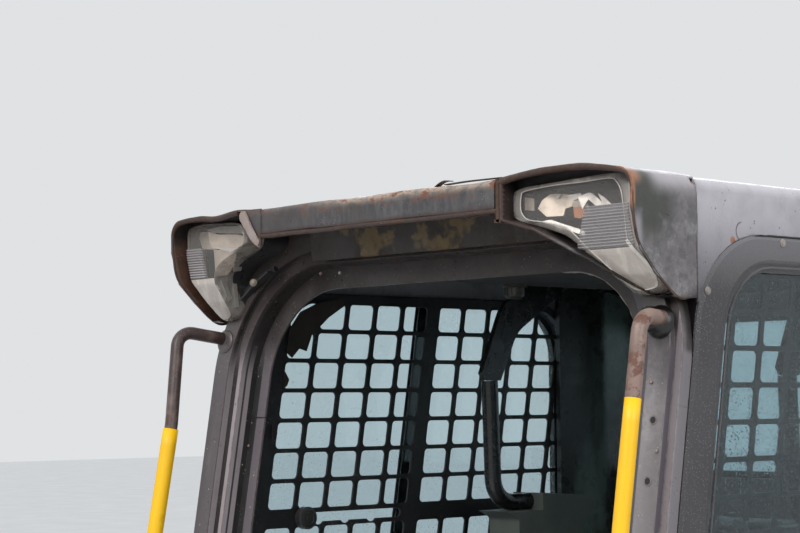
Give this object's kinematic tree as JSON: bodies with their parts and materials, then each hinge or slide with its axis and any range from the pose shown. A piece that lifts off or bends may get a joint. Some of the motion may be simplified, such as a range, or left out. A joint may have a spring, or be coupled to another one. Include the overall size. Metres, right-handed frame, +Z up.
{
  "type": "skid steer loader cab",
  "caption": "Operator's cab of a skid steer loader: leaning front arch with work lamps, side grilles and windows, grab handles, seat and an overhead restraint bar that swings down.",
  "frame": {"origin": "middle of the cab's foot frame, on the surface that it stands on", "axes": "+X is the machine's left, -Y its front with the door way, +Z up"},
  "size_m": [0.96, 1.18, 1.394],
  "materials": {
    "cab_paint": "satin",
    "arch_paint": "satin",
    "grille_paint": "satin",
    "ring_moulding": "matte",
    "glass": "gloss",
    "lamp_lens": "gloss",
    "lamp_bowl": "gloss",
    "seal_rubber": "matte",
    "trim_moulding": "matte",
    "dome_light": "gloss",
    "handle_steel": "satin",
    "grip_yellow": "satin",
    "seat_frame": "satin",
    "seat_cover": "satin",
    "bar_paint": "satin",
    "pad_moulding": "matte",
    "lever_rubber": "matte"
  },
  "bodies": {
    "cab": {"arch_bends": "arch_paint", "base_frame": "cab_paint", "consoles": "trim_moulding", "corner_trims": "trim_moulding", "dome_light": "dome_light", "front_arch": "arch_paint", "front_posts": "arch_paint", "grab_handles": "handle_steel", "grips": "grip_yellow", "headliner": "trim_moulding", "lamp_body_left": "lamp_bowl", "lamp_body_right": "lamp_bowl", "lamp_hood_left": "arch_paint", "lamp_hood_right": "arch_paint", "lamp_lens_left": "lamp_lens", "lamp_lens_right": "lamp_lens", "levers": "lever_rubber", "pivot_brackets": "cab_paint", "rear_glass": "glass", "rear_seal": "seal_rubber", "rear_wall": "cab_paint", "roof_panel": "cab_paint", "seat_back": "seat_cover", "seat_base": "seat_frame", "seat_cushion": "seat_cover", "seat_pan": "cab_paint", "side_glass_left": "glass", "side_glass_right": "glass", "side_grille_left": "grille_paint", "side_grille_right": "grille_paint", "side_wall_left": "cab_paint", "side_wall_right": "cab_paint", "visor": "arch_paint", "visor_pan": "arch_paint", "window_latches": "ring_moulding", "window_ring_left": "ring_moulding", "window_ring_right": "ring_moulding"},
    "restraint_bar": {"arm_pads": "pad_moulding", "restraint_arms": "bar_paint", "restraint_crossbar": "bar_paint", "restraint_tubes": "bar_paint"}
  },
  "joints": [
    {"name": "restraint_bar", "type": "hinge", "parent": "cab", "child": "restraint_bar", "pos_m": [0, 0.5, 0.88], "axis": [1, 0, 0], "range_deg": [0, 40]}
  ]
}
